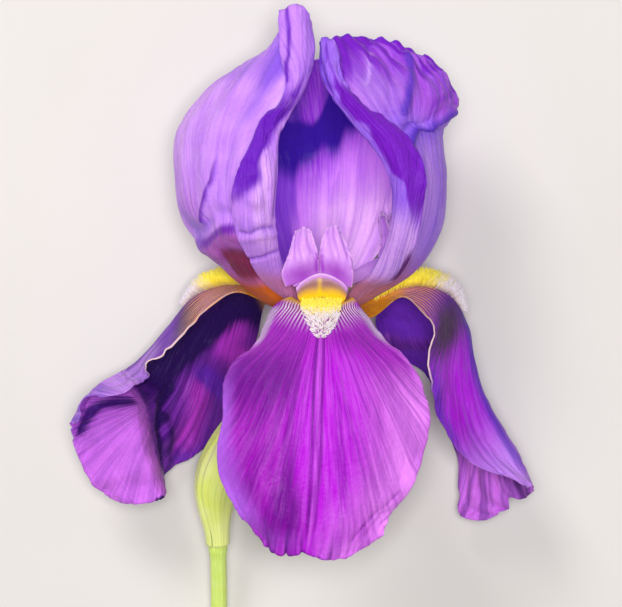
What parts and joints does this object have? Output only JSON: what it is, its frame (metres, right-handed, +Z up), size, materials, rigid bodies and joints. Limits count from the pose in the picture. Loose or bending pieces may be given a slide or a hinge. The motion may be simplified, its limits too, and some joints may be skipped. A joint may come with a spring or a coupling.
{
  "type": "bearded iris flower",
  "caption": "Cut bearded iris flower lying on its back: drooping bearded falls, domed upright standards, petal-like style arms, spathe and stalk.",
  "frame": {"origin": "bottom centre of the bounding box, on the surface that the flower lies on", "axes": "+Z up from the surface, out of the flower's face towards the viewer; +Y from the stalk towards the standards; +X to the right of someone looking down at the flower"},
  "size_m": [0.1178, 0.185, 0.076],
  "materials": {
    "fall_petal": "satin",
    "standard_pale": "satin",
    "standard_violet": "satin",
    "beard_hair": "matte",
    "style_petal": "satin",
    "stamen": "matte",
    "tube": "satin",
    "ovary": "satin",
    "spathe": "satin",
    "stalk": "satin"
  },
  "bodies": {
    "root": {"fall_front": "fall_petal", "fall_left": "fall_petal", "fall_right": "fall_petal", "standard_left": "standard_pale", "standard_right": "standard_violet", "standard_back": "standard_pale", "beard_front": "beard_hair", "beard_left": "beard_hair", "beard_right": "beard_hair", "style": "style_petal", "stamen_front": "stamen", "stamen_left": "stamen", "stamen_right": "stamen", "perianth_tube": "tube", "ovary": "ovary", "spathe_outer": "spathe", "spathe_inner": "spathe", "stalk": "stalk"}
  },
  "joints": []
}
